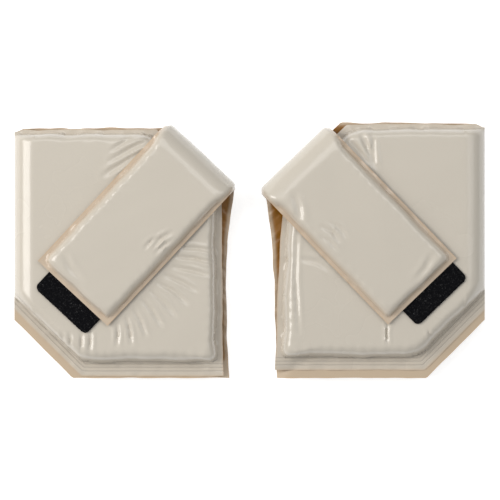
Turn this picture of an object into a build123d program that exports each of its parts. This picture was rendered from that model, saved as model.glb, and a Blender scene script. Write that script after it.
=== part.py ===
"""A pair of folded, vinyl-covered foam knee pads, lying flat with their straps closed.

Each pad is one foam slab between two vinyl films, folded in half along its outer side and
welded together along the bottom and the bevelled corner, so that it forms a pocket with an
open top and an open inner side. A padded strap leaves the back panel's upper inner corner,
turns over the front panel and ends in a hook tab, which closes on a loop patch.

Frame: millimetres, +Z up, origin under the middle of the pair, on the surface they lie on.
+X runs from the left pad to the right pad, and +Y towards the open tops.

Inside a pad, u runs from the outer fold towards the open side and v from the bottom seam
towards the open top. The left pad is built in place; the right one is its mirror image with
its own strap placement, because each strap is folded over by hand.
"""

import os
from math import cos, radians, sin, sqrt

from build123d import *

# --- driving dimensions -------------------------------------------------------------------

# the pair
PAIR_GAP = 46.0  # between the two back panels' open edges

# pad construction
FILM = 0.5  # vinyl film
BODY_FOAM = 18.0  # foam slab of the body
POCKET_GAP = 8.0  # between the two inner faces
BODY_WIDTH = 236.0  # outer fold to the back panel's open edge
BODY_HEIGHT = 275.0  # bottom seam edge to the open top edge
CORNER_CUT = 64.0  # bevelled corner, along each side
SEAM_FLANGE = 18.0  # welded flange along the bottom and the bevel
EDGE_FLANGE = 8.0  # welded flange along the open edges
FRONT_SETBACK = 7.0  # the front panel's open edge stops short of the back panel's

# the front panel's free corner, which bends up to open the pocket
BEND_TOP_U = 40.0  # where the bend line meets the open top edge
BEND_OPEN_V = 30.0  # where the bend line meets the open side edge
CORNER_ROOM = 5.0  # between the free corner's edge and the strap's fold

# the strap
STRAP_WIDTH = 104.0
STRAP_FOAM = 10.0
STRAP_FLANGE = 7.0  # welded flange along the strap's sides and tip
STRAP_ROUND = 3.0  # rounding of the strap foam's outer edges

# hook and loop tape
TAPE_LENGTH = 76.0
TAPE_WIDTH = 38.0
TAPE_ROUND = 4.0  # the tape's rounded outer corners
TAPE_OVERHANG = 24.0  # how far the hook tab stands out past the strap's tip
LOOP_THICKNESS = 1.5
HOOK_THICKNESS = 1.5

# where each strap is folded over, measured in from the body's open side and top, the angle of
# the strap to the u axis, its length from fold to tip, and how far the hook tab sits off centre
STRAPS = {
    "left": {"from_side": 27.5, "from_top": 28.6, "angle": 47.0, "reach": 209.0, "tab_shift": -3.0},
    "right": {"from_side": 24.0, "from_top": 32.5, "angle": 46.0, "reach": 204.0, "tab_shift": 8.0},
}

# clearances between pieces that move past or against each other
RUNNING_GAP = 0.3
HINGE_GAP = 0.1  # between the faces that close on each other where a strap bends

# --- derived sizes ------------------------------------------------------------------------

HALF_SPAN = PAIR_GAP / 2 + BODY_WIDTH  # middle of the pair to a pad's outer fold
PANEL = BODY_FOAM + 2 * FILM
BODY_THICKNESS = 2 * PANEL + POCKET_GAP
FOLD_RADIUS = BODY_THICKNESS / 2
STRAP_THICKNESS = STRAP_FOAM + 2 * FILM
STRAP_UNDERSIDE = BODY_THICKNESS + LOOP_THICKNESS + RUNNING_GAP + HOOK_THICKNESS
STRAP_TOP = STRAP_UNDERSIDE + STRAP_THICKNESS
OUTSIDE = 40.0  # how far a cutting prism reaches past what it cuts


def fold_middle(strap):
    """The (u, v) of the middle of a strap's fold."""
    return BODY_WIDTH - strap["from_side"], BODY_HEIGHT - strap["from_top"]


def strap_corner_v(strap):
    """v of the upper end of a strap's fold, the pad's highest point."""
    return fold_middle(strap)[1] + STRAP_WIDTH / 2 * cos(radians(strap["angle"]))


V_MIDDLE = max(strap_corner_v(strap) for strap in STRAPS.values()) / 2


# --- outlines and layers ------------------------------------------------------------------


def at(u, v):
    """The left pad's (u, v) as (x, y)."""
    return u - HALF_SPAN, v - V_MIDDLE


def outline(strap, seam, open_u, top_v, strap_side):
    """The panel's plan: seam is the distance in from the bottom and bevel edges, open_u and
    top_v the open edges, and strap_side the distance in from the strap's fold."""
    along, across = cos(radians(strap["angle"])), sin(radians(strap["angle"]))
    fold_u, fold_v = fold_middle(strap)
    bevel_sum = CORNER_CUT + seam * sqrt(2)
    corner_v = fold_v + (-strap_side - (open_u - fold_u) * along) / across
    corner_u = fold_u + (-strap_side - (top_v - fold_v) * across) / along
    return [
        at(0, bevel_sum),
        at(bevel_sum - seam, seam),
        at(open_u, seam),
        at(open_u, corner_v),
        at(corner_u, top_v),
        at(0, top_v),
    ]


def prism(points, low, high):
    """The plan raised between two heights."""
    with BuildPart() as raised:
        with BuildSketch(Plane.XY.offset(low)):
            Polygon(*points, align=None)
        extrude(amount=high - low)
    return raised.part


def two_panels(strap, seam, inset):
    """The back panel's plan below the middle and the front panel's above it. inset is the
    distance in from both panels' open edges."""
    back_side = STRAP_THICKNESS + RUNNING_GAP
    front_side = STRAP_THICKNESS + CORNER_ROOM + inset
    back = outline(strap, seam, BODY_WIDTH - inset, BODY_HEIGHT - inset, back_side)
    front_open = BODY_WIDTH - FRONT_SETBACK - inset
    front = outline(strap, seam, front_open, BODY_HEIGHT - inset, front_side)
    with BuildPart() as both:
        add(prism(back, 0, FOLD_RADIUS))
        add(prism(front, FOLD_RADIUS, BODY_THICKNESS))
    return both.part


def folded_layer(inner, outer):
    """A layer of the folded slab, between two distances from the pocket's inner face."""
    near, far = POCKET_GAP / 2 + inner, POCKET_GAP / 2 + outer
    left, back = at(FOLD_RADIUS, BODY_HEIGHT)
    side = Plane(origin=(left, back, FOLD_RADIUS), x_dir=(1, 0, 0), z_dir=(0, -1, 0))
    with BuildPart() as layer:
        with BuildSketch(side):
            Circle(far)
            Rectangle(BODY_WIDTH, 2 * far, align=(Align.MIN, Align.CENTER))
            Circle(near, mode=Mode.SUBTRACT)
            Rectangle(
                BODY_WIDTH, 2 * near, align=(Align.MIN, Align.CENTER), mode=Mode.SUBTRACT
            )
        extrude(amount=BODY_HEIGHT)
    return layer.part


def seam_strip(strap, inner, outer, low, high):
    """A strip along the bottom and bevel edges, between two distances in from them."""
    open_u, top_v, side = BODY_WIDTH, BODY_HEIGHT, STRAP_THICKNESS + CORNER_ROOM
    with BuildPart() as strip:
        add(prism(outline(strap, outer, open_u, top_v, side), low, high))
        add(prism(outline(strap, inner, open_u, top_v, side), low, high), mode=Mode.SUBTRACT)
    return strip.part


# --- the body -----------------------------------------------------------------------------


def body_foam(strap, grow=0.0):
    """The foam slab, folded in half. grow adds a film's thickness to its edges."""
    with BuildPart() as foam:
        add(folded_layer(FILM, FILM + BODY_FOAM + grow))
        add(two_panels(strap, SEAM_FLANGE - grow, EDGE_FLANGE - grow), mode=Mode.INTERSECT)
    return foam.part


def inner_lining(strap):
    """The pocket's film: it lines both panels, closes along the seam and lies in the flange."""
    middle = FOLD_RADIUS
    with BuildPart() as lining:
        add(folded_layer(0, FILM))
        add(two_panels(strap, SEAM_FLANGE, 0), mode=Mode.INTERSECT)
        half_web = POCKET_GAP / 2 + FILM
        add(seam_strip(strap, SEAM_FLANGE + FILM, SEAM_FLANGE, middle - half_web, middle + half_web))
        add(seam_strip(strap, SEAM_FLANGE + FILM, 0, middle - FILM, middle + FILM))
        add(body_foam(strap), mode=Mode.SUBTRACT)
    return lining.part


def outer_cover(strap):
    """The outside film: both faces, the fold, the walls round the foam, and the flanges."""
    middle = FOLD_RADIUS
    half_wall = POCKET_GAP / 2 + FILM
    with BuildPart() as cover:
        add(body_foam(strap, grow=FILM))
        with BuildPart(mode=Mode.PRIVATE) as edge_flange:
            add(folded_layer(FILM, 2 * FILM))
            add(two_panels(strap, SEAM_FLANGE - FILM, 0), mode=Mode.INTERSECT)
        add(edge_flange.part)
        add(seam_strip(strap, SEAM_FLANGE, SEAM_FLANGE - FILM, middle - half_wall, middle + half_wall))
        add(seam_strip(strap, SEAM_FLANGE - FILM, 0, middle - 2 * FILM, middle + 2 * FILM))
        add(body_foam(strap), mode=Mode.SUBTRACT)
        add(inner_lining(strap), mode=Mode.SUBTRACT)
    return cover.part


def beyond_bend(low, high):
    """Everything on the free corner's side of the bend line."""
    top_u, top_v = BEND_TOP_U, BODY_HEIGHT
    open_u, open_v = BODY_WIDTH, BEND_OPEN_V
    slope = (open_v - top_v) / (open_u - top_u)
    start = at(top_u - OUTSIDE, top_v - OUTSIDE * slope)
    end = at(open_u + OUTSIDE, open_v + OUTSIDE * slope)
    far = at(open_u + OUTSIDE, top_v - OUTSIDE * slope)
    return prism([start, end, far], low, high)


def regions():
    """The parts of a folded film or slab: back, fold, front, and the front's free corner."""
    low, middle, high = -1.0, FOLD_RADIUS, BODY_THICKNESS + 1.0
    near, far = -FOLD_RADIUS, BODY_WIDTH + OUTSIDE
    end = BODY_HEIGHT + OUTSIDE

    def block(u_from, u_to, z_from, z_to):
        corners = [at(u_from, -OUTSIDE), at(u_to, -OUTSIDE), at(u_to, end), at(u_from, end)]
        return prism(corners, z_from, z_to)

    with BuildPart() as fixed_front:
        add(block(FOLD_RADIUS, far, middle, high))
        add(beyond_bend(middle, high), mode=Mode.SUBTRACT)
    return {
        "back": block(FOLD_RADIUS, far, low, middle),
        "fold": block(near, FOLD_RADIUS, low, high),
        "front": fixed_front.part,
        "flap": beyond_bend(middle, high),
    }


# --- the strap ----------------------------------------------------------------------------


def strap_plane(strap, height):
    """x runs in from the strap's fold towards the tip, and y across the strap."""
    angle = radians(strap["angle"])
    x, y = at(*fold_middle(strap))
    return Plane(origin=(x, y, height), x_dir=(-cos(angle), -sin(angle), 0), z_dir=(0, 0, 1))


def strap_bar(plane, start, length, width, thickness, rounding=0.0):
    """A flat bar along the plane's x axis, from its underside up."""
    with BuildPart() as bar:
        with BuildSketch(plane):
            with Locations((start, 0)):
                Rectangle(length, width, align=(Align.MIN, Align.CENTER))
        extrude(amount=thickness)
        if rounding > 0:
            sides = bar.edges().filter_by(Axis(plane.origin, plane.x_dir)).sort_by(Axis.Z)[-2:]
            fillet(sides, rounding)
    return bar.part


def strap_arm(strap):
    """The strap over the front panel: cover, foam and lining."""
    plane = strap_plane(strap, STRAP_UNDERSIDE)
    above = strap_plane(strap, STRAP_UNDERSIDE + FILM)
    start = STRAP_THICKNESS + HINGE_GAP
    length = strap["reach"] - start
    foam_length = length - STRAP_FLANGE
    foam_width = STRAP_WIDTH - 2 * STRAP_FLANGE
    foam = strap_bar(above, start, foam_length, foam_width, STRAP_FOAM, STRAP_ROUND)
    lining = strap_bar(plane, start, length, STRAP_WIDTH, FILM)
    with BuildPart() as cover:
        add(strap_bar(above, start, length, STRAP_WIDTH, FILM))
        skin_length, skin_width = foam_length + FILM, foam_width + 2 * FILM
        round_over = STRAP_ROUND + FILM
        add(strap_bar(above, start, skin_length, skin_width, STRAP_FOAM + FILM, round_over))
        add(foam, mode=Mode.SUBTRACT)
    return {"strap_cover": cover.part, "strap_foam": foam, "strap_lining": lining}


def strap_fold(strap):
    """The strap's standing fold, between the back panel and the strap over the front."""
    low = STRAP_THICKNESS + RUNNING_GAP
    plane = strap_plane(strap, low)
    height = STRAP_UNDERSIDE - low
    foam_width = STRAP_WIDTH - 2 * STRAP_FLANGE
    foam = strap_bar(plane, FILM, STRAP_FOAM, foam_width, height)
    lining = strap_bar(plane, STRAP_THICKNESS - FILM, FILM, STRAP_WIDTH, height)
    with BuildPart() as cover:
        add(strap_bar(plane, 0, STRAP_THICKNESS - FILM, foam_width + 2 * FILM, height))
        add(strap_bar(plane, STRAP_THICKNESS - 2 * FILM, FILM, STRAP_WIDTH, height))
        add(foam, mode=Mode.SUBTRACT)
    return {"strap_fold_cover": cover.part, "strap_fold_foam": foam, "strap_fold_lining": lining}


def tape(strap, low, thickness, overhang, length, width):
    """A piece of tape across the strap's tip, with rounded corners on its outer side."""
    plane = strap_plane(strap, low)
    with BuildPart() as strip:
        with BuildSketch(plane) as shape:
            with Locations((strap["reach"] + overhang - width, strap["tab_shift"])):
                Rectangle(width, length, align=(Align.MIN, Align.CENTER))
            inward = Axis(plane.origin, plane.x_dir)
            fillet(shape.vertices().sort_by(inward)[-2:], TAPE_ROUND)
        extrude(amount=thickness)
    return strip.part


# --- a pad --------------------------------------------------------------------------------


def pad_pieces(strap):
    """Every piece of a pad, built as a left pad."""
    layers = {
        "cover": outer_cover(strap),
        "foam": body_foam(strap),
        "lining": inner_lining(strap),
    }
    pieces = {}
    for region_name, region in regions().items():
        for layer_name, layer in layers.items():
            with BuildPart() as piece:
                add(layer)
                add(region, mode=Mode.INTERSECT)
            pieces[f"{region_name}_{layer_name}"] = piece.part
    pieces.update(strap_fold(strap))
    pieces.update(strap_arm(strap))
    hook_low = STRAP_UNDERSIDE - HOOK_THICKNESS
    pieces["hook_tape"] = tape(
        strap, hook_low, HOOK_THICKNESS, TAPE_OVERHANG, TAPE_LENGTH, TAPE_WIDTH
    )
    loop_edge = 2.0
    pieces["loop_tape"] = tape(
        strap,
        BODY_THICKNESS,
        LOOP_THICKNESS,
        TAPE_OVERHANG - loop_edge,
        TAPE_LENGTH - 2 * loop_edge,
        TAPE_WIDTH - 2 * loop_edge,
    )
    return pieces


os.makedirs("parts", exist_ok=True)

for side_name, strap in STRAPS.items():
    for piece_name, piece in pad_pieces(strap).items():
        label = f"{side_name}_{piece_name}"
        with BuildPart() as placed:
            add(piece)
            if side_name == "right":
                mirror(about=Plane.YZ, mode=Mode.REPLACE)
        placed.part.label = label
        export_step(placed.part, f"parts/{label}.step")
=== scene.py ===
"""Looks for a pair of folded, vinyl-covered foam pads.

Lengths are in metres, as in the row frame. On a pad, u runs from the outer fold towards the
inner side and v from the bottom seam up. On a strap, s runs in from the fold and w across.
"""

import math

import bmesh
import bpy
import numpy as np
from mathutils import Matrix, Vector


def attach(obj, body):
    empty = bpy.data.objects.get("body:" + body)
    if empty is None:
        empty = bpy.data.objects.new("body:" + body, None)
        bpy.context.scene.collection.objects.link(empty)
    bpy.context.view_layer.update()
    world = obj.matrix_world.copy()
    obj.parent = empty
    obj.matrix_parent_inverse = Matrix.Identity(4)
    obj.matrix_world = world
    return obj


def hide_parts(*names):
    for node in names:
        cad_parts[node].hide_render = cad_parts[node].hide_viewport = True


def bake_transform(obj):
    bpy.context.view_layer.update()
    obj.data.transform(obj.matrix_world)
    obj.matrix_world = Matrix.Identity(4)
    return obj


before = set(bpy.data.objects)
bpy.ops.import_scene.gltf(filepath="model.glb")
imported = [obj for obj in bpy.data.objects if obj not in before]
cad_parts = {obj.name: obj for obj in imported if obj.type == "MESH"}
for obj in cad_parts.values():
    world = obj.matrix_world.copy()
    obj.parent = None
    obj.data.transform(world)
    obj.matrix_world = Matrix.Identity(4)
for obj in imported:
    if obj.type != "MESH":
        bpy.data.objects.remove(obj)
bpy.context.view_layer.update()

STEP = 0.002

# --- sizes shared with the CAD ------------------------------------------------------------

HALF_SPAN = 0.259
V_MIDDLE = 0.140932
THICKNESS = 0.046
MIDDLE = THICKNESS / 2
WIDTH = 0.236
HEIGHT = 0.275
CORNER_CUT = 0.064
STRAP_THICKNESS = 0.011
STRAP_WIDTH = 0.104
STRAP_UNDERSIDE = 0.0493
FRONT_SETBACK = 0.007
# where each strap folds over the front panel's corner, between its top edge and its open edge
STRAPS = {
    "left": {"u": 0.2085, "v": 0.2464, "angle": 47.0, "reach": 0.209, "shift": -0.003},
    "right": {"u": 0.2120, "v": 0.2425, "angle": 46.0, "reach": 0.204, "shift": 0.008},
}

# each panel's open edge, as u at a few heights v, and its top edge
EDGE_V = (0.0, 0.030, 0.107, 0.150, 0.190, 0.215)
OPEN_EDGES = {
    ("left", "front"): (0.2300, 0.2297, 0.2292, 0.2288, 0.2285, 0.2285),
    ("left", "back"): (0.2370, 0.2345, 0.2330, 0.2345, 0.2400, 0.2430),
    ("right", "front"): (0.2310, 0.2300, 0.2275, 0.2250, 0.2222, 0.2215),
    ("right", "back"): (0.2290, 0.2300, 0.2315, 0.2345, 0.2395, 0.2440),
}
TOPS = {"left": 0.275, "right": 0.281}

# --- sizes of the looks alone ---------------------------------------------------------------

REST_GAP = 0.0002       # no face is lower than this
RIM = 0.0011            # a strap's thickness at its welded edge
POCKET = 0.0038         # half the pocket's gap
FLANGE = 0.0009         # half the thickness of the welded seam
FOLD_DEPTH = 0.029      # how far in a strap's fold starts to curve
FOLD_POWER = 2 / 2.1    # 1 would be an ellipse
TAPES = {
    "hook": {"low": 0.0470, "thick": 0.0016, "overhang": 0.024, "length": 0.076, "width": 0.038},
    "loop": {"low": 0.0460, "thick": 0.0008, "overhang": 0.022, "length": 0.072, "width": 0.034},
}

# --- small helpers ------------------------------------------------------------------------


def smooth(t):
    t = np.clip(t, 0, 1)
    return t * t * (3 - 2 * t)


def bump(t):
    """1 at 0, falling smoothly to 0 at 1 and beyond."""
    t = np.clip(np.abs(t), 0, 1)
    return (1 - t * t) ** 2


def noise(x, y, seed, octaves=3, base=1.0):
    """Smooth pseudo-random field in about -1..1, from sums of sines."""
    rng = np.random.default_rng(seed)
    total, gain, norm = np.zeros_like(x), 1.0, 0.0
    for octave in range(octaves):
        for _ in range(4):
            a, p = rng.uniform(0, 2 * np.pi, 2)
            f = base * 2**octave * rng.uniform(0.7, 1.3)
            total += gain * np.sin(f * (x * np.cos(a) + y * np.sin(a)) + p)
            norm += gain * 0.6
        gain *= 0.5
    return total / norm


def soft_min(rows, k=0.004):
    """A rounded minimum of the distances."""
    rows = np.array(rows)
    low = rows.min(axis=0)
    return low - k * np.log(np.exp(-(rows - low) / k).sum(axis=0))


def crease(u, v, line, width, depth):
    """A crease along a line of points in (u, v), fading at its ends; negative is inwards."""
    best = np.full_like(u, 1e9)
    along = np.zeros_like(u)
    total = sum(math.dist(a, b) for a, b in zip(line, line[1:]))
    run = 0.0
    for (au, av), (bu, bv) in zip(line, line[1:]):
        du, dv = bu - au, bv - av
        length = math.hypot(du, dv)
        t = np.clip(((u - au) * du + (v - av) * dv) / length**2, 0, 1)
        d = np.hypot(u - au - t * du, v - av - t * dv)
        near = d < best
        best = np.where(near, d, best)
        along = np.where(near, (run + t * length) / total, along)
        run += length
    fade = np.sin(np.pi * np.clip(along, 0.02, 0.98)) ** 0.6
    x = best / width
    profile = -np.exp(-(x**2)) + 0.55 * np.exp(-((x - 1.7) ** 2) / 0.7)
    return depth * fade * profile


def set_attribute(obj, name, values):
    attribute = obj.data.attributes.new(name, "FLOAT", "POINT")
    attribute.data.foreach_set("value", np.asarray(values, np.float32))


# --- materials ----------------------------------------------------------------------------


class Nodes:
    """A short way to build a node material."""

    def __init__(self, name):
        self.material = bpy.data.materials.new(name)
        self.material.use_nodes = True
        self.tree = self.material.node_tree
        self.shader = self.tree.nodes["Principled BSDF"]
        self.output = self.tree.nodes["Material Output"]

    def add(self, kind, **settings):
        node = self.tree.nodes.new(kind)
        for key, value in settings.items():
            setattr(node, key, value)
        return node

    def link(self, a, b):
        self.tree.links.new(a, b)

    def set(self, node, values):
        for key, value in values.items():
            node.inputs[key].default_value = value

    def math(self, operation, a, b=None, c=None, clamp=False):
        node = self.add("ShaderNodeMath", operation=operation, use_clamp=clamp)
        for socket, value in zip(node.inputs, (a, b, c)):
            if value is None:
                continue
            if isinstance(value, (int, float)):
                socket.default_value = value
            else:
                self.link(value, socket)
        return node.outputs[0]

    def attribute(self, name):
        return self.add("ShaderNodeAttribute", attribute_name=name).outputs["Fac"]

    def noise(self, scale, detail=4.0, rough=0.5, distortion=0.0):
        coords = self.add("ShaderNodeTexCoord")
        node = self.add("ShaderNodeTexNoise")
        self.link(coords.outputs["Object"], node.inputs["Vector"])
        settings = {"Scale": scale, "Detail": detail, "Roughness": rough, "Distortion": distortion}
        self.set(node, settings)
        return node.outputs[0]

    def mix(self, factor, a, b):
        node = self.add("ShaderNodeMix", data_type="RGBA")
        if isinstance(factor, (int, float)):
            node.inputs[0].default_value = factor
        else:
            self.link(factor, node.inputs[0])
        for socket, value in ((node.inputs[6], a), (node.inputs[7], b)):
            if isinstance(value, tuple):
                socket.default_value = (*value, 1)
            else:
                self.link(value, socket)
        return node.outputs[2]

    def bump(self, height, distance, strength=1.0, below=None):
        node = self.add("ShaderNodeBump")
        self.set(node, {"Distance": distance, "Strength": strength})
        self.link(height, node.inputs["Height"])
        if below is not None:
            self.link(below, node.inputs["Normal"])
        return node.outputs["Normal"]


def line_at(n, distance, place, width):
    """1 on a thin line at a distance from the seam's edge, 0 off it."""
    off = n.math("ABSOLUTE", n.math("SUBTRACT", distance, place))
    return n.math("SUBTRACT", 1.0, n.math("DIVIDE", off, width), clamp=True)


def vinyl(name, foam_tone_and_pocket_shade, on_flange, roughness, welds, coat=0.5):
    """Glossy vinyl film: foam shows through it paler, and the welded flange is darker. On the lining
    the first colour is painted shade instead, laid where the foam value marks the deep pocket.
    """
    n = Nodes(name)
    foam = n.attribute("foam")
    seam = n.attribute("seam")
    mottle = n.noise(9.0, 3.0)
    fine = n.noise(260.0, 3.0, 0.6)
    ripple = n.noise(38.0, 2.0, 0.5, 0.8)
    shade = n.mix(n.math("MULTIPLY", mottle, 0.5), foam_tone_and_pocket_shade, tuple(0.93 * c for c in foam_tone_and_pocket_shade))
    edge = n.math("POWER", n.math("MAXIMUM", foam, 0.0), 0.7)
    # on the lining, this blend lays the dark painted shade where the foam value is high, deep in the
    # pocket and under the strap
    colour = n.mix(edge, on_flange, shade)
    rim_edge = n.math("MINIMUM", n.math("ABSOLUTE", seam), n.math("ABSOLUTE", n.attribute("open")))
    rim = n.math("SUBTRACT", 1.0, n.math("DIVIDE", rim_edge, 0.0022), clamp=True)
    peach = n.mix(0.5, on_flange, (0.62, 0.42, 0.25))
    colour = n.mix(n.math("MULTIPLY", rim, 0.75), colour, peach)
    height = n.math("MULTIPLY", ripple, 0.35)
    if welds:
        lines = None
        for place in welds:
            line = line_at(n, seam, place, 0.0009)
            lines = line if lines is None else n.math("MAXIMUM", lines, line)
        dark = tuple(0.72 * c for c in on_flange)
        colour = n.mix(n.math("MULTIPLY", lines, 0.55), colour, dark)
        height = n.math("SUBTRACT", height, lines)
    n.link(colour, n.shader.inputs["Base Color"])
    rough = n.math("ADD", n.math("MULTIPLY", mottle, 0.12), roughness)
    n.link(rough, n.shader.inputs["Roughness"])
    n.set(n.shader, {"Coat Weight": coat, "Coat Roughness": 0.10, "IOR": 1.48})
    below = n.bump(fine, 0.00012, 0.35)
    n.link(n.bump(height, 0.0007, 0.6, below), n.shader.inputs["Normal"])
    return n.material


def nap(name, colour, speck):
    """Hook or loop tape: a dense, dark nap with a few pale specks."""
    n = Nodes(name)
    pile = n.noise(900.0, 2.0, 0.7)
    tufts = n.noise(330.0, 3.0, 0.7)
    speck_field = n.noise(620.0, 1.0, 0.9, 1.5)
    speckle = n.math("MULTIPLY", n.math("SUBTRACT", speck_field, 0.62, clamp=True), 5.0, clamp=True)
    base = n.mix(tufts, tuple(0.4 * c for c in colour), tuple(1.6 * c for c in colour))
    n.link(n.mix(speckle, base, speck), n.shader.inputs["Base Color"])
    n.set(n.shader, {"Roughness": 0.95, "Specular IOR Level": 0.08})
    below = n.bump(tufts, 0.0012, 0.9)
    n.link(n.bump(pile, 0.0006, 0.9, below), n.shader.inputs["Normal"])
    return n.material


FILM_GREY = (0.640, 0.586, 0.500)
COVER = vinyl("cover vinyl", FILM_GREY, (0.61, 0.545, 0.455), 0.20, (0.0055, 0.0095, 0.0135))
BACK_COVER = vinyl("back cover vinyl", FILM_GREY, (0.55, 0.44, 0.32), 0.30, ())
# the lining's dark golden brown is painted shade with a warm painted glow of bounced light, for the
# deep pocket and the strap's underside; the paler tan goes at its edges
LINING_WITH_PAINTED_SHADE = vinyl("lining vinyl painted shade", (0.30, 0.125, 0.010), (0.58, 0.46, 0.33), 0.24, (), 0.0)
STRAP_VINYL = vinyl("strap vinyl", FILM_GREY, (0.60, 0.485, 0.365), 0.18, ())
HOOK = nap("hook tape", (0.004, 0.004, 0.005), (0.12, 0.12, 0.12))
LOOP = nap("loop tape", (0.005, 0.005, 0.006), (0.08, 0.08, 0.08))

# --- shells -------------------------------------------------------------------------------


def shell(name, outer, inner, materials, inner_material=None, attributes=None, below=None):
    """A closed mesh between two grids of points of the same size (rows, columns, 3)."""
    rows, columns = outer.shape[:2]
    count = rows * columns
    points = np.concatenate([outer.reshape(-1, 3), inner.reshape(-1, 3)])
    index = np.arange(count).reshape(rows, columns)
    quads = np.stack(
        [index[:-1, :-1], index[1:, :-1], index[1:, 1:], index[:-1, 1:]], axis=-1
    ).reshape(-1, 4)
    faces = [quads, quads[:, ::-1] + count]
    loop = np.concatenate([index[0, :-1], index[:-1, -1], index[-1, :0:-1], index[:0:-1, 0]])
    after = np.roll(loop, -1)
    faces.append(np.stack([loop, after, after + count, loop + count], axis=-1))
    faces = np.concatenate(faces)
    mesh = bpy.data.meshes.new(name)
    mesh.from_pydata(points.tolist(), [], faces.tolist())
    mesh.polygons.foreach_set("use_smooth", [True] * len(faces))
    for material in materials:
        mesh.materials.append(material)
    picks = np.zeros(len(faces), int)
    if inner_material is not None:
        picks[len(quads) : 2 * len(quads)] = inner_material
    mesh.polygons.foreach_set("material_index", picks)
    obj = bpy.data.objects.new(name, mesh)
    bpy.context.collection.objects.link(obj)
    for key, values in (attributes or {}).items():
        values = np.asarray(values, np.float32).reshape(-1)
        inside = np.asarray(below.get(key, values), np.float32).reshape(-1) if below else values
        set_attribute(obj, key, np.concatenate([values, inside]))
    bpy.context.view_layer.update()
    recalculate(obj)
    return obj


def recalculate(obj):
    """Turns every face outwards."""
    work = bmesh.new()
    work.from_mesh(obj.data)
    bmesh.ops.recalc_face_normals(work, faces=work.faces)
    work.to_mesh(obj.data)
    work.free()
    obj.data.set_sharp_from_angle(angle=math.radians(62))
    obj.data.update()


def pillow(distance, radius):
    t = np.clip(distance / radius, 0, 1)
    return np.sqrt(np.clip(1 - (1 - t) ** 2, 0, 1))


def place(side, u, v, z):
    """Pad coordinates to the row frame."""
    sign = 1 if side == "left" else -1
    return np.stack([sign * (u - HALF_SPAN), v - V_MIDDLE, np.maximum(z, REST_GAP)], axis=-1)


def plan_grid(side, kind, seam_start, open_u, top, diagonal, seed):
    """Columns along u and rows along v, over the panel's plan."""
    strap = STRAPS[side]
    c, s = math.cos(math.radians(strap["angle"])), math.sin(math.radians(strap["angle"]))
    turn = MIDDLE * (1 - np.cos(np.linspace(0, math.pi / 2, 14)))
    flat = np.arange(MIDDLE, open_u, STEP)
    columns = np.unique(np.concatenate([turn, flat, [open_u]]))
    wave = noise(columns, 0 * columns, seed, 3, 90.0)
    rows = np.linspace(0, 1, int(HEIGHT / STEP))
    bottom_start, bevel_start = seam_start
    low = np.maximum(bottom_start, CORNER_CUT + bevel_start * math.sqrt(2) - columns)
    low = low + 0.0005 * noise(columns, 0 * columns, seed + 5, 2, 160.0)
    cut = strap["v"] + (-diagonal - c * (columns - strap["u"])) / s
    rounded = 0.0045 * (1 - smooth(columns / 0.012))
    high = np.minimum(top + 0.0013 * wave - rounded, cut)
    u = np.repeat(columns[:, None], len(rows), axis=1)
    v = low[:, None] + rows[None, :] * (high - low)[:, None]
    across = -(c * (u - strap["u"]) + s * (v - strap["v"])) - diagonal
    edge = np.interp(v, EDGE_V, OPEN_EDGES[side, kind])
    edge = edge + 0.0006 * noise(v, 0 * v, seed + 9, 2, 120.0)
    inner_u = 0.17
    move = (edge - open_u) * smooth((u - inner_u) / (open_u - inner_u))
    return u + move, v, open_u - u, high, across


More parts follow.
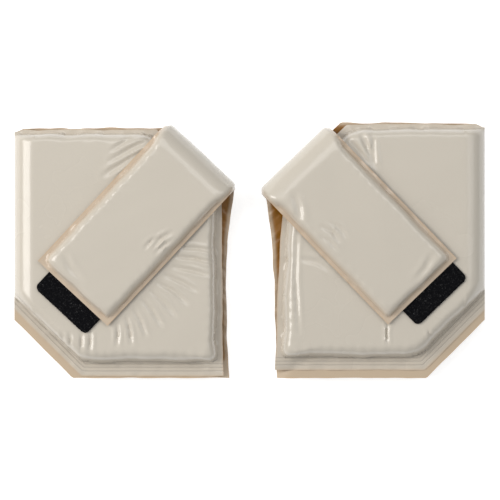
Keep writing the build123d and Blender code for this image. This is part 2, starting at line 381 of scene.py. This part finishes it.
CREASES = {
    "left": [
        ([(0.157, 0.2635), (0.134, 0.254), (0.108, 0.239)], 0.0040, 0.0016),
        ([(0.152, 0.2547), (0.128, 0.241), (0.100, 0.223)], 0.0038, 0.0015),
        ([(0.139, 0.2646), (0.124, 0.260), (0.108, 0.250)], 0.0030, 0.0012),
        ([(0.147, 0.248), (0.134, 0.236), (0.114, 0.217)], 0.0036, 0.0010),
        ([(0.183, 0.1436), (0.201, 0.143), (0.219, 0.140)], 0.0026, 0.0013),
        ([(0.178, 0.1337), (0.198, 0.132), (0.218, 0.127)], 0.0026, 0.0014),
        ([(0.174, 0.1227), (0.195, 0.119), (0.216, 0.113)], 0.0028, 0.0012),
        ([(0.166, 0.114), (0.185, 0.106), (0.202, 0.096)], 0.0028, 0.0012),
        ([(0.158, 0.106), (0.176, 0.096), (0.191, 0.082)], 0.0028, 0.0014),
        ([(0.150, 0.0974), (0.165, 0.084), (0.178, 0.069)], 0.0028, 0.0013),
        ([(0.141, 0.0875), (0.153, 0.074), (0.163, 0.058)], 0.0028, 0.0015),
        ([(0.132, 0.0765), (0.140, 0.063), (0.146, 0.047)], 0.0028, 0.0013),
        ([(0.124, 0.0677), (0.128, 0.054), (0.130, 0.038)], 0.0026, 0.0014),
        ([(0.114, 0.0611), (0.115, 0.049), (0.114, 0.036)], 0.0026, 0.0012),
        ([(0.047, 0.050), (0.048, 0.040), (0.047, 0.028)], 0.0022, 0.0011),
        ([(0.054, 0.052), (0.055, 0.040), (0.054, 0.030)], 0.0022, 0.0012),
        ([(0.063, 0.050), (0.063, 0.040), (0.062, 0.028)], 0.0024, 0.0012),
        ([(0.075, 0.050), (0.075, 0.038), (0.074, 0.028)], 0.0024, 0.0011),
        ([(0.085, 0.052), (0.085, 0.040), (0.084, 0.028)], 0.0026, 0.0011),
    ],
    "right": [
        ([(0.1375, 0.270), (0.130, 0.252), (0.121, 0.232)], 0.0036, 0.0017),
        ([(0.124, 0.2646), (0.124, 0.252), (0.121, 0.239)], 0.0028, 0.0014),
        ([(0.154, 0.2646), (0.140, 0.250), (0.1265, 0.234)], 0.0036, 0.0015),
        ([(0.160, 0.258), (0.150, 0.246), (0.141, 0.236)], 0.0030, 0.0012),
        ([(0.108, 0.0611), (0.109, 0.050), (0.108, 0.038)], 0.0020, 0.0016),
        ([(0.064, 0.0545), (0.062, 0.049), (0.058, 0.0435)], 0.0022, 0.0012),
        ([(0.170, 0.118), (0.185, 0.128), (0.204, 0.132)], 0.0040, 0.0008),
        ([(0.205, 0.050), (0.209, 0.110), (0.207, 0.165)], 0.0030, 0.0010),
    ],
}
# how far the front film's flange stops short of the back's, along the bottom and the bevel,
# and how far in from the bottom seam the foam starts
LIFTS = {"left": (0.0020, 0.0080), "right": (0.0088, 0.0075)}
FOAM_STARTS = {"left": 0.0180, "right": 0.0235}


def half(side, front):
    """The front or the back half of a pad: outer film, foam bulk and lining as one closed shell."""
    lift = LIFTS[side] if front else (0.0, 0.0)
    open_u = WIDTH - (FRONT_SETBACK if front else 0)
    diagonal = 0.0155 if front else 0.0090
    seed = (3 if side == "left" else 11) + (0 if front else 40)
    top = TOPS[side] - (0.0015 if front else 0)
    kind = "front" if front else "back"
    u, v, from_open, high, across = plan_grid(side, kind, lift, open_u, top, diagonal, seed)
    bottom = v
    bevel = (u + v - CORNER_CUT) / math.sqrt(2)
    seam = np.minimum(bottom, bevel)
    from_top = high.max() - v
    mouth = np.minimum(from_open, from_top)
    start = FOAM_STARTS[side]
    foam_rows = [bottom - start, bevel - start, from_open - 0.0075, from_top - 0.0060]
    if front:
        foam_rows.append(across - 0.0065)
    inside = soft_min(foam_rows, 0.0035)
    wobble = 0.0010 * noise(u, v, seed + 1, 2, 110.0)
    inside = inside + wobble * bump(inside / 0.03)
    puff = pillow(inside, 0.0135 - 0.005 * smooth((0.05 - mouth) / 0.03))
    # 1 where the panels are welded together, 0 at the open edges
    closed = smooth((from_open - seam) / 0.03 + 0.5) * smooth((from_top - seam) / 0.03 + 0.5)
    level = FLANGE + 0.0041 * (1 - closed)
    fold = np.sqrt(np.clip(MIDDLE**2 - (MIDDLE - np.minimum(u, MIDDLE)) ** 2, 0, None))
    height = level + (fold - level) * puff
    height = np.minimum(height, np.maximum(fold, FLANGE * (seam < start)))
    if front:
        relief = np.zeros_like(u)
        for line, width, depth in CREASES[side]:
            relief += crease(u, v, line, 0.78 * width, 1.5 * depth)
        relief += 0.0004 * noise(u, v, seed + 2, 3, 45.0)
        # puckers along the bottom seam, the open edge and the top edge
        pucker = np.sin(u * 520 + 3 * noise(u, v, seed + 3, 2, 60.0))
        relief += 0.00020 * pucker * bump((bottom - start - 0.007) / 0.012)
        pucker = np.sin(v * 560 + 3 * noise(u, v, seed + 4, 2, 60.0))
        relief += 0.00014 * pucker * bump((from_open - 0.014) / 0.010)
        relief += 0.0004 * noise(u, v, seed + 6, 2, 420.0) * bump((from_top - 0.008) / 0.010)
        height = height + np.minimum(relief, 0.0012) * smooth(u / 0.012) * puff**0.5
        height += 0.0005 * noise(u, v, seed + 7, 2, 260.0) * (1 - puff) * smooth(u / 0.02)
        height = np.maximum(height, 0.0004)
    gap = np.sqrt(np.clip(POCKET**2 - np.clip(MIDDLE - u, 0, POCKET) ** 2, 0, None))
    lining = gap * (1 - closed * (1 - smooth((seam - start) / 0.006)))
    if not front:
        crinkle = noise(u, v, seed + 8, 3, 300.0)
        lining = lining + 0.0012 * crinkle * bump(from_open / 0.045) * smooth(seam / 0.03)
    lining = np.clip(lining, 0.0, None)
    height = np.maximum(height, lining + 0.0004)
    sign = 1 if front else -1
    outer = place(side, u, v, MIDDLE + sign * height)
    inner = place(side, u, v, MIDDLE + sign * lining)
    from_flange = np.minimum(bottom - lift[0], bevel - lift[1])
    facts = {"foam": puff, "seam": from_flange, "open": mouth}
    cover = COVER if front else BACK_COVER
    # on the lining the foam value masks its painted shade: it rises from 2 mm to 6 mm in from the
    # mouth, and over 4 mm in from the foam's edge by the seam
    below = {"foam": smooth((mouth - 0.002) / 0.004) * smooth((seam - start) / 0.004)}
    return shell(f"{side}_{kind}_panel", outer, inner, [cover, LINING_WITH_PAINTED_SHADE], 1, facts, below)


STRAP_CREASES = {
    "left": [
        ([(0.086, 0.034), (0.098, 0.030), (0.112, 0.030)], 0.0030, 0.0016),
        ([(0.092, 0.040), (0.102, 0.037), (0.116, 0.036)], 0.0026, 0.0014),
        ([(0.100, 0.028), (0.108, 0.024), (0.120, 0.024)], 0.0028, 0.0012),
        ([(0.184, -0.036), (0.190, -0.020), (0.192, -0.002)], 0.0050, 0.0010),
    ],
    "right": [
        ([(0.076, 0.030), (0.088, 0.026), (0.102, 0.027)], 0.0030, 0.0016),
        ([(0.082, 0.020), (0.092, 0.017), (0.104, 0.019)], 0.0028, 0.0012),
        ([(0.084, 0.038), (0.094, 0.035), (0.108, 0.036)], 0.0026, 0.0014),
        ([(0.030, 0.028), (0.044, 0.034), (0.058, 0.044)], 0.0055, 0.0014),
        ([(0.182, -0.036), (0.188, -0.020), (0.190, -0.002)], 0.0050, 0.0010),
    ],
}


def strap_path(reach):
    """The strap's outer surface line in (s, z), from the back panel round the fold to the tip."""
    radius = (STRAP_UNDERSIDE + STRAP_THICKNESS) / 2
    turn = np.linspace(-math.pi / 2, math.pi / 2, 40)
    s = FOLD_DEPTH - FOLD_DEPTH * np.abs(np.cos(turn)) ** FOLD_POWER
    z = radius + radius * np.sign(np.sin(turn)) * np.abs(np.sin(turn)) ** FOLD_POWER
    flat = np.arange(FOLD_DEPTH + STEP, reach, STEP)
    s = np.concatenate([s, flat, [reach]])
    z = np.concatenate([z, np.full(len(flat) + 1, 2 * radius)])
    return s, z


def strap_place(side, s, w, z):
    """Strap coordinates, s in from the fold and w across, to the row frame."""
    strap = STRAPS[side]
    a = math.radians(strap["angle"])
    u = strap["u"] - s * math.cos(a) + w * math.sin(a)
    v = strap["v"] - s * math.sin(a) - w * math.cos(a)
    return place(side, u, v, z)


def strap_pieces(side):
    """The strap's lower fold and its upper fold with the arm, each a closed padded shell."""
    reach = STRAPS[side]["reach"]
    seed = 21 if side == "left" else 27
    s, z = strap_path(reach)
    ds, dz = np.gradient(s), np.gradient(z)
    length = np.hypot(ds, dz)
    normal_s, normal_z = -dz / length, ds / length
    half_width = STRAP_WIDTH / 2
    w = np.linspace(-half_width, half_width, int(STRAP_WIDTH / STEP) + 1)
    run = np.concatenate([[0], np.cumsum(np.hypot(np.diff(s), np.diff(z)))])
    from_tip = (run[-1] - run)[:, None] + 0 * w[None, :]
    from_side = half_width - np.abs(w)[None, :] + 0 * run[:, None]
    turning = smooth((0.034 - s) / 0.022)[:, None]
    inside = soft_min([from_tip - 0.0055, from_side - 0.0050 + 0.0035 * turning], 0.0025)
    grid_s, grid_w = s[:, None] + 0 * w, w[None, :] + 0 * s[:, None]
    grid_run = run[:, None] + 0 * w
    inside = inside + 0.0007 * noise(grid_run, grid_w, seed, 2, 120.0)
    puff = pillow(inside, 0.0080 - 0.0025 * turning)
    thick = RIM + (STRAP_THICKNESS - RIM) * puff
    relief = np.zeros_like(thick)
    for line, width, depth in STRAP_CREASES[side]:
        relief += crease(grid_s, grid_w, line, 0.7 * width, 1.1 * depth)
    relief += 0.0005 * noise(grid_run, grid_w, seed + 1, 3, 55.0)
    pucker = np.sin(run[:, None] * 480 + 3 * noise(grid_run, grid_w, seed + 2, 2, 70.0))
    relief += 0.00018 * pucker * bump((from_side - 0.010) / 0.008)
    thick = thick + relief * puff
    thick = thick + 0.0004 * noise(grid_run, grid_w, seed + 3, 2, 300.0) * (1 - puff)
    inner_s = s - STRAP_THICKNESS * normal_s
    inner_z = z - STRAP_THICKNESS * normal_z
    wave = 0.0008 * noise(grid_run, grid_w, seed + 4, 2, 130.0) * (1 - puff)
    base_s = inner_s[:, None] + 0 * w
    base_z = inner_z[:, None] + wave
    lifted = turning * 0.5 * (STRAP_THICKNESS - RIM) * (1 - puff)
    top = thick + lifted
    outer = strap_place(
        side, base_s + top * normal_s[:, None], grid_w, base_z + top * normal_z[:, None]
    )
    inner = strap_place(
        side, base_s + lifted * normal_s[:, None], grid_w, base_z + lifted * normal_z[:, None]
    )
    # through the foam value, the underside takes the lining's dark painted shade where the strap is
    # padded
    facts = {"foam": puff, "seam": from_side, "open": from_side}
    middle = int(np.argmin(np.abs(z - z.max() / 2)))
    made = []
    lower_rows, upper_rows = slice(0, middle + 1), slice(middle, None)
    for name, rows in (("padded_strap_fold", lower_rows), ("padded_strap", upper_rows)):
        cut = {key: values[rows] for key, values in facts.items()}
        made.append(
            shell(f"{side}_{name}", outer[rows], inner[rows], [STRAP_VINYL, LINING_WITH_PAINTED_SHADE], 1, cut)
        )
    return made


def tape(side, kind, material, seed):
    """A rounded strip of tape with a ragged nap."""
    strap = STRAPS[side]
    low, thick, overhang, length, width = TAPES[kind].values()
    step = 0.0007
    tip = strap["reach"] + overhang
    s = np.linspace(tip - width, tip, int(width / step))
    w = np.linspace(-length / 2, length / 2, int(length / step))
    grid_s, grid_w = np.meshgrid(s, w, indexing="ij")
    corner = 0.006
    over = np.clip((grid_s - (s[-1] - corner)) / corner, 0, 1)
    side_limit = length / 2 - corner * (1 - np.sqrt(np.clip(1 - over**2, 0, 1)))
    grid_w = grid_w * side_limit / (length / 2)
    edge = np.minimum(s[-1] - grid_s, side_limit - np.abs(grid_w))
    rng = np.random.default_rng(seed)
    ragged = rng.uniform(-1, 1, grid_s.shape)
    top = thick * (0.55 + 0.45 * pillow(edge, 0.0022)) + 0.00022 * ragged
    sag = 0.0002 * noise(grid_s, grid_w, seed, 2, 60.0) + 0.0002
    rim = bump(edge / 0.0012)
    grid_s = grid_s + 0.0003 * rng.uniform(-1, 1, grid_s.shape) * rim
    outer = strap_place(side, grid_s, grid_w - strap["shift"], low + top + sag)
    inner = strap_place(side, grid_s, grid_w - strap["shift"], low + sag)
    facts = {"foam": np.ones_like(grid_s), "seam": edge, "open": edge}
    return shell(f"{side}_{kind}_nap", outer, inner, [material], None, facts)


# --- both pads ----------------------------------------------------------------------------

for side in ("left", "right"):
    pad, corner = f"{side}_pad", f"{side}_corner"
    back = half(side, front=False)
    back_nodes = [f"{side}_{r}_{k}" for r in ("back", "fold") for k in ("cover", "foam", "lining")]
    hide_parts(*back_nodes)
    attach(back, pad)

    front = half(side, front=True)
    front_nodes = [f"{side}_{r}_{k}" for r in ("front", "flap") for k in ("cover", "foam", "lining")]
    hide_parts(*front_nodes)
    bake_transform(front)

    lower, upper = strap_pieces(side)
    fold_nodes = [f"{side}_strap_fold_{k}" for k in ("cover", "foam", "lining")]
    arm_nodes = [f"{side}_strap_{k}" for k in ("cover", "foam", "lining")]
    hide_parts(*fold_nodes)
    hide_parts(*arm_nodes)
    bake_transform(lower)
    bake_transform(upper)

    hook = tape(side, "hook", HOOK, 31)
    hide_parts(f"{side}_hook_tape")
    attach(hook, f"{side}_strap")
    loop = tape(side, "loop", LOOP, 33)
    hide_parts(f"{side}_loop_tape")
    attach(loop, pad)

# --- floor, light and camera --------------------------------------------------------------

BACKDROP_WHITE = 0.62


def floor_material():
    """Plain white to the camera and in reflections, with the object's shadow kept."""
    n = Nodes("white floor")
    matt = {"Base Color": (0.85, 0.85, 0.85, 1), "Roughness": 1.0, "Specular IOR Level": 0.0}
    n.set(n.shader, matt)
    glow = n.add("ShaderNodeEmission")
    n.set(glow, {"Color": (1, 1, 1, 1)})
    path = n.add("ShaderNodeLightPath")
    mirrored = n.math("MAXIMUM", path.outputs["Is Glossy Ray"], path.outputs["Is Transmission Ray"])
    seen = n.math("MAXIMUM", path.outputs["Is Camera Ray"], mirrored)
    n.link(n.math("MULTIPLY", seen, BACKDROP_WHITE), glow.inputs["Strength"])
    both = n.add("ShaderNodeAddShader")
    n.link(n.shader.outputs[0], both.inputs[0])
    n.link(glow.outputs[0], both.inputs[1])
    n.link(both.outputs[0], n.output.inputs["Surface"])
    return n.material


bpy.ops.mesh.primitive_plane_add(size=12, location=(0, 0, -0.0002))
floor = bpy.context.object
floor.name = "floor"
floor.data.materials.append(floor_material())


def area_light(name, location, target, size, power, colour=(1, 1, 1)):
    data = bpy.data.lights.new(name, "AREA")
    data.shape, data.size, data.size_y = "RECTANGLE", size[0], size[1]
    data.energy, data.color = power, colour
    light = bpy.data.objects.new(name, data)
    bpy.context.collection.objects.link(light)
    light.location = location
    light.rotation_euler = (Vector(target) - light.location).to_track_quat("-Z", "Y").to_euler()
    return light


area_light("key", (-2.4, 0.45, 2.25), (0, 0, 0), (1.7, 2.4), 72, (1.0, 0.975, 0.945))
area_light("fill", (1.2, 0.5, 1.6), (0, 0, 0), (1.2, 1.2), 5)
area_light("top", (0.0, 0.9, 2.0), (0, 0, 0), (1.5, 0.8), 7)

world = bpy.data.worlds.new("world")
bpy.context.scene.world = world
world.use_nodes = True
background = world.node_tree.nodes["Background"]
background.inputs["Color"].default_value = (0.96, 0.98, 1.0, 1)
background.inputs["Strength"].default_value = 0.36

# the camera looks straight down, and VIEW_WIDTH fills the frame at the height VIEW_HEIGHT
LENS = 200
SENSOR = 36
VIEW_WIDTH = 0.55
VIEW_HEIGHT = 0.027
VIEW_CENTRE_X = 0.0005

camera_data = bpy.data.cameras.new("camera")
camera_data.lens, camera_data.sensor_width = LENS, SENSOR
camera = bpy.data.objects.new("camera", camera_data)
bpy.context.collection.objects.link(camera)
camera.location = (VIEW_CENTRE_X, 0.0, VIEW_HEIGHT + VIEW_WIDTH * LENS / SENSOR)
camera.rotation_euler = (0, 0, 0)
camera_data.clip_end = 100
bpy.context.scene.camera = camera
bpy.context.scene.view_settings.view_transform = "Standard"
